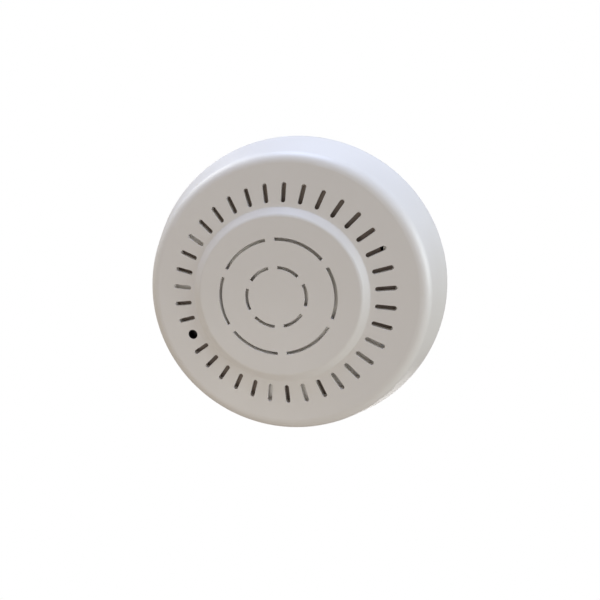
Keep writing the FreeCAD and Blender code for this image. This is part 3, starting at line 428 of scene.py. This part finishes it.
# %% Dress the CAD nodes
FINISH_OF = {
    "front_cover": cover_white, "rear_housing": housing_white, "battery_door": door_white,
    "mounting_bracket": bracket_white, "sounder_cup": sounder_white, "circuit_board": board_green,
    "smoke_chamber": chamber_black, "chamber_cap": chamber_black, "insect_screen": screen_wire,
    "infrared_led": eye_lens, "photodiode": eye_lens, "piezo_disc": sounder_brass,
    "piezo_ceramic": piezo_grey, "sounder_pin_ceramic": nickel, "sounder_pin_disc": nickel,
    "transformer_core": ferrite_grey, "transformer_winding": coil_copper,
    "large_capacitor": sleeve_dark, "small_capacitor": sleeve_dark, "controller_chip": part_black,
    "board_resistors": ferrite_grey, "indicator_led": lamp_lens, "test_switch": part_black,
    "switch_actuator": part_black, "test_plunger": smoked_guide, "plunger_spring": nickel,
    "cell_left": jacket_left, "cell_right": jacket_right, "bridge_contact": nickel,
    "positive_contact": nickel, "negative_contact": nickel, "cell_spring_inner": nickel,
    "cell_spring_outer": nickel,
}
for number in (1, 2, 3):
    FINISH_OF[f"board_screw_{number}"] = zinc_steel
    FINISH_OF[f"cover_screw_{number}"] = zinc_steel
for name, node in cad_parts.items():
    node.data.materials.clear()
    node.data.materials.append(FINISH_OF[name])
print("dressed", len(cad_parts), "nodes")

# %% [markdown]
# New pieces are made with bmesh operators and finished in one place: the mesh becomes an object at the
# origin, its faces shade smoothly up to a crease angle, and it rides on the body that carries it.

# %% A helper that finishes a new piece
CREASE_ANGLE = math.radians(35)
SAME_POINT = 0.001 * MM


def finish_piece(name, shape, finish, body):
    bmesh.ops.remove_doubles(shape, verts=shape.verts, dist=SAME_POINT)
    bmesh.ops.recalc_face_normals(shape, faces=shape.faces)
    mesh = bpy.data.meshes.new(name)
    shape.to_mesh(mesh)
    shape.free()
    mesh.shade_smooth()
    mesh.set_sharp_from_angle(angle=CREASE_ANGLE)
    mesh.materials.append(finish)
    piece = bpy.data.objects.new(name, mesh)
    bpy.context.scene.collection.objects.link(piece)
    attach(piece, body)
    print(name, "has", len(mesh.polygons), "faces")


def round_edges_of(shape, edges, width, segments):
    bmesh.ops.bevel(shape, geom=edges, offset=width, segments=segments, profile=0.5, affect="EDGES",
                    material=-1)


DEGREES_PER_STEP = 2


def add_arc_bar(shape, inner, outer, low, high, start, end):
    # a bar of rectangular section, spun about the alarm's axis from one angle to another
    places = ((inner, low), (outer, low), (outer, high), (inner, high))
    corners = [shape.verts.new((x, 0, z)) for x, z in places]
    section = shape.faces.new(corners)
    turn = Matrix.Rotation(math.radians(start), 3, "Z")
    bmesh.ops.rotate(shape, verts=corners, cent=(0, 0, 0), matrix=turn)
    steps = max(2, round(abs(end - start) / DEGREES_PER_STEP))
    bmesh.ops.spin(shape, geom=[section] + section.edges[:] + corners, cent=(0, 0, 0), axis=(0, 0, 1),
                   angle=math.radians(end - start), steps=steps, use_duplicate=False)


def add_block(shape, size, place):
    matrix = Matrix.Translation(place) @ Matrix.Diagonal((*size, 1.0))
    bmesh.ops.create_cube(shape, size=1.0, matrix=matrix)


# %% [markdown]
# The battery door is opened with a fingertip, so its recess has a few ridges to push against. Each is a
# small bar with rounded edges, standing in the recess and ending below the door's face.

# %% Grip ridges in the door's recess
grip = bmesh.new()
ridge_length, ridge_width, ridge_depth, ridge_gap = 8.6 * MM, 0.45 * MM, 0.55 * MM, 1.0 * MM
recess_depth = 0.8 * MM
grip_y = door_low.y + 3.7 * MM
for step in (-1, 0, 1):
    place = Vector((0, grip_y + step * ridge_gap, door_high.z - recess_depth + ridge_depth / 2))
    add_block(grip, (ridge_length, ridge_width, ridge_depth), place)
round_edges_of(grip, grip.edges[:], 0.12 * MM, 2)
finish_piece("door_grip_ridges", grip, door_white, "battery_door")

# %% [markdown]
# The battery door carries a plain silver sticker, left blank. Between two ribs of the housing's back a
# raised arrow shows which way to turn the alarm off its bracket: an arc of a small square bar, made with
# a spin about the alarm's axis, and a triangular head.

# %% The blank sticker and the turning arrow
back_z = door_high.z
sticker = bmesh.new()
sticker_width, sticker_length, sticker_thickness = 18 * MM, 26 * MM, 0.08 * MM
sticker_y = -18 * MM
add_block(sticker, (sticker_width, sticker_length, sticker_thickness),
          Vector((0, sticker_y, back_z + sticker_thickness / 2)))
corners = [edge for edge in sticker.edges if abs(edge.verts[0].co.z - edge.verts[1].co.z) > 0.01 * MM]
round_edges_of(sticker, corners, 2 * MM, 6)
finish_piece("blank_sticker", sticker, label_silver, "battery_door")

arrow = bmesh.new()
arrow_radius, arrow_width, arrow_rise = 37 * MM, 1.4 * MM, 0.3 * MM
tail_angle, head_angle = 146, 132
add_arc_bar(arrow, arrow_radius - arrow_width / 2, arrow_radius + arrow_width / 2,
            back_z, back_z + arrow_rise, tail_angle, head_angle)
head_half_width, head_length, head_overlap = 2 * MM, 3.6 * MM, 0.2 * MM
turn = Matrix.Rotation(math.radians(head_angle), 4, "Z")
corners = [turn @ Vector((arrow_radius + dx, dy, back_z))
           for dx, dy in ((head_half_width, head_overlap), (-head_half_width, head_overlap),
                          (0, -head_length))]
base = arrow.faces.new([arrow.verts.new(corner) for corner in corners])
raised = bmesh.ops.extrude_face_region(arrow, geom=[base])
top = [item for item in raised["geom"] if isinstance(item, bmesh.types.BMVert)]
bmesh.ops.translate(arrow, verts=top, vec=(0, 0, arrow_rise))
finish_piece("turning_arrow", arrow, housing_white, "head")

# %% [markdown]
# Behind the open slots lies a thin brown sheet whose colour is painted shade: it stands in for the dim,
# brownish inside that is seen through the slots. It is made of arcs that leave out the places where
# a boss, the light guide or the battery well's baffle stands right behind the face. Beside the edge boss
# the arc is narrower.

# %% The painted-shade sheet behind the slots
# the sheet's brown colour is painted shade for the dimly lit inside behind the slots
slot_shade_brown = make_finish("slot_shade_brown", (0.24, 0.20, 0.175), (0.17, 0.145, 0.13), 0.7, 0.9,
                           0.3 * MM, 0.03 * MM, edge=0.0, drift=9 * MM)
# where each arc starts and ends, in degrees, and its outer radius, in millimetres
FULL, NARROW = 40.6, 38.6
SHADE_SHEET_ARCS = ((31, 47.5, FULL), (62.5, 77.5, FULL), (92.5, 200, FULL), (200, 214, NARROW),
               (214, 250.5, FULL), (-70.5, -62.5, FULL), (-47.5, -42.5, FULL), (-27.5, 19, FULL))
SHADE_SHEET_INNER, SHADE_SHEET_THICKNESS = 32.8 * MM, 0.2 * MM
slot_shade_sheet = bmesh.new()
shade_sheet_low = FACE_Z + 2.3 * MM
for start, end, outer in SHADE_SHEET_ARCS:
    add_arc_bar(slot_shade_sheet, SHADE_SHEET_INNER, outer * MM, shade_sheet_low, shade_sheet_low + SHADE_SHEET_THICKNESS,
                start, end)
finish_piece("slot_shade_sheet", slot_shade_sheet, slot_shade_brown, "head")

# %% [markdown]
# The round hole is lined with a thin black bush that guides the pin. It is a tube turned about the
# pin's own axis, a hair smaller than the hole and clear of the pin.

# %% The black bush in the round hole
pin_x, pin_y = middle_of("test_plunger").xy
BUSH_OUTER, BUSH_INNER, BUSH_LENGTH = 1.83 * MM, 1.66 * MM, 3.6 * MM
bush = bmesh.new()
bush_front = FACE_Z + 0.05 * MM
profile = [bush.verts.new((pin_x + radius, pin_y, z)) for radius, z in (
    (BUSH_INNER, bush_front), (BUSH_OUTER, bush_front),
    (BUSH_OUTER, bush_front + BUSH_LENGTH), (BUSH_INNER, bush_front + BUSH_LENGTH))]
sides = [bush.edges.new((profile[index], profile[(index + 1) % 4])) for index in range(4)]
bmesh.ops.spin(bush, geom=profile + sides, cent=(pin_x, pin_y, 0), axis=(0, 0, 1), angle=math.tau,
               steps=40, use_merge=True, use_duplicate=False)
finish_piece("guide_bush", bush, smoked_guide, "head")

# %% [markdown]
# Where a leg or a pin goes through the circuit board, the far side shows a bright cone of solder. They
# are flattened spheres, one per pin, sitting on the side that faces the ceiling.

# %% Solder joints on the back of the board
LEG_OFFSET, CORNER_OFFSET = 1.2 * MM, 2.2 * MM


def pin_places():
    for name in ("large_capacitor", "small_capacitor"):
        middle = middle_of(name)
        for side in (-1, 1):
            yield middle.x + side * LEG_OFFSET, middle.y
    for name in ("transformer_core", "test_switch"):
        middle = middle_of(name)
        for side_x in (-1, 1):
            for side_y in (-1, 1):
                yield middle.x + side_x * CORNER_OFFSET, middle.y + side_y * CORNER_OFFSET
    for name in ("sounder_pin_ceramic", "sounder_pin_disc", "infrared_led", "photodiode"):
        yield middle_of(name).xy


solder = bmesh.new()
joint_radius, joint_rise = 0.85 * MM, 0.5 * MM
for x, y in pin_places():
    flatten = Matrix.Diagonal((1, 1, joint_rise / joint_radius, 1))
    made = bmesh.ops.create_uvsphere(solder, u_segments=14, v_segments=8, radius=joint_radius,
                                     matrix=Matrix.Translation((x, y, board_high.z)) @ flatten)
    below = [vert for vert in made["verts"] if vert.co.z < board_high.z - 0.01 * MM]
    bmesh.ops.delete(solder, geom=below, context="VERTS")
finish_piece("solder_joints", solder, solder_tin, "head")

# %% [markdown]
# A cell's nub end has a pale insulating washer under the sleeve's rim. It is a flat ring: a disc is
# inset to cut its hole, the middle is taken away, and the ring gets a little thickness.

# %% Insulating washers on the cells
washer_white = make_finish("washer_white", (0.62, 0.60, 0.55), (0.56, 0.54, 0.50), 0.5, 0.65,
                           0.2 * MM, 0.003 * MM, edge=0.05 * MM, drift=3 * MM)
NUB_LENGTH, WASHER_GAP = 1.0 * MM, 0.02 * MM
WASHER_RADIUS, WASHER_BAND, WASHER_THICKNESS = 4.6 * MM, 2.5 * MM, 0.15 * MM
for side, nub_end, facing in (("left", cell_low.y, -1.0), ("right", right_high.y, 1.0)):
    washer = bmesh.new()
    middle = middle_of(f"cell_{side}")
    centre = Vector((middle.x, nub_end - facing * (NUB_LENGTH - WASHER_GAP), middle.z))
    lying = Matrix.Translation(centre) @ Matrix.Rotation(math.radians(90), 4, "X")
    bmesh.ops.create_circle(washer, cap_ends=True, segments=48, radius=WASHER_RADIUS,
                            matrix=lying)
    bmesh.ops.inset_region(washer, faces=washer.faces[:], thickness=WASHER_BAND, use_boundary=True)
    hub = min(washer.faces, key=lambda face: (face.calc_center_median() - centre).length)
    bmesh.ops.delete(washer, geom=[hub], context="FACES")
    ring = bmesh.ops.extrude_face_region(washer, geom=washer.faces[:])
    lifted = [item for item in ring["geom"] if isinstance(item, bmesh.types.BMVert)]
    bmesh.ops.translate(washer, verts=lifted, vec=(0, facing * WASHER_THICKNESS, 0))
    finish_piece(f"cell_washer_{side}", washer, washer_white, "head")

# %% [markdown]
# The alarm hangs face down, so light from the sides is stronger than light from the room below: that is
# what makes the side wall brighter than the face. The world gives a dim, warm glow that is brighter
# above than below, and soft lights do the rest. Where the camera looks past the alarm it sees plain white.

# %% The world's glow
world = bpy.data.worlds.new("studio_glow")
bpy.context.scene.world = world
world.use_nodes = True
sky = world.node_tree
sky.nodes.clear()
GLOW_BELOW, GLOW_ABOVE = 0.106, 0.176
split = sky.nodes.new("ShaderNodeSeparateXYZ")
sky.links.new(sky.nodes.new("ShaderNodeTexCoord").outputs["Generated"], split.inputs["Vector"])
glow = remap(sky, split.outputs["Z"], -0.55, 0.35, GLOW_BELOW, GLOW_ABOVE)
tent = sky.nodes.new("ShaderNodeBackground")
tent.inputs["Color"].default_value = (1.000, 0.699, 0.486, 1.0)
sky.links.new(glow, tent.inputs["Strength"])
backdrop = sky.nodes.new("ShaderNodeBackground")
backdrop.inputs["Color"].default_value = (1.0, 1.0, 1.0, 1.0)
backdrop.inputs["Strength"].default_value = 1.0
choose = sky.nodes.new("ShaderNodeMixShader")
sky.links.new(sky.nodes.new("ShaderNodeLightPath").outputs["Is Camera Ray"], choose.inputs["Fac"])
sky.links.new(tent.outputs["Background"], choose.inputs[1])
sky.links.new(backdrop.outputs["Background"], choose.inputs[2])
sky.links.new(choose.outputs["Shader"], sky.nodes.new("ShaderNodeOutputWorld").inputs["Surface"])
bpy.context.scene.view_settings.view_transform = "Standard"
bpy.context.scene.view_settings.look = "None"

# %% [markdown]
# Soft area lights shape the form. Each is placed by a direction from the alarm's centre, at a distance
# several times the alarm's size, and is turned to look at it. The cool one on the far side draws the
# rounded edge and the step of the raised disc.

# %% Soft lights
centre = (cad_low + cad_high) / 2
face_centre = Vector((0, 0, FACE_Z))


def add_soft_light(name, direction, distance, size, watts, colour):
    light = bpy.data.lights.new(name, "AREA")
    light.shape = "DISK"
    light.size = size
    light.energy = watts
    light.color = colour
    lamp = bpy.data.objects.new(name, light)
    bpy.context.scene.collection.objects.link(lamp)
    away = Vector(direction).normalized()
    lamp.location = centre + away * distance
    lamp.rotation_mode = "QUATERNION"
    lamp.rotation_quaternion = away.to_track_quat("Z", "Y")


add_soft_light("far_side_light", (-0.80, 0.56, -0.05), 0.7, 0.35, 3.606, (0.579, 0.695, 1.000))
add_soft_light("window_light", (-0.25, 0.95, 0.10), 0.9, 0.5, 4.338, (0.991, 1.000, 0.946))
add_soft_light("near_side_light", (-0.75, -0.65, -0.10), 0.9, 0.5, 5.292, (0.905, 0.974, 1.000))
add_soft_light("room_light", (0.62, -0.11, -0.78), 0.9, 0.7, 2.819, (1.000, 0.957, 0.877))
add_soft_light("back_light", (0.35, -0.45, 0.85), 0.9, 0.5, 1.6, (1.0, 1.0, 1.0))

# %% [markdown]
# A pale floor lies far below, as in a room. It only shows when the camera looks down.

# %% The floor
floor_shape = bmesh.new()
FLOOR_DROP = 1.2
bmesh.ops.create_grid(floor_shape, x_segments=1, y_segments=1, size=12.0,
                      matrix=Matrix.Translation((0, 0, cad_low.z - FLOOR_DROP)))
floor_mesh = bpy.data.meshes.new("floor")
floor_shape.to_mesh(floor_mesh)
floor_shape.free()
floor_mesh.materials.append(make_finish("floor_pale", (0.86, 0.86, 0.85), (0.84, 0.84, 0.83), 0.7, 0.85,
                                        8 * MM, 0.05 * MM, edge=0.0, drift=0.9))
floor = bpy.data.objects.new("floor", floor_mesh)
bpy.context.scene.collection.objects.link(floor)

# %% [markdown]
# The camera is below the alarm and to one side, close enough for strong perspective. Its place is given
# from the centre of the slotted face, and its turn as three angles.

# %% The camera
camera_data = bpy.data.cameras.new("camera")
camera = bpy.data.objects.new("camera", camera_data)
bpy.context.scene.collection.objects.link(camera)
bpy.context.scene.camera = camera
CAMERA_FROM_FACE = Vector((-31.036, -0.661, -122.073)) * MM
camera.location = face_centre + CAMERA_FROM_FACE
camera.rotation_euler = [math.radians(angle) for angle in (172.6162, -15.25, -127.9019)]
camera_data.sensor_width = 36.0
camera_data.lens = 20.804
camera_data.shift_x = 0.1
camera_data.shift_y = -0.0432
camera_data.clip_start = 0.01
camera_data.clip_end = 50.0
print("camera is", round(CAMERA_FROM_FACE.length / MM), "mm from the face")
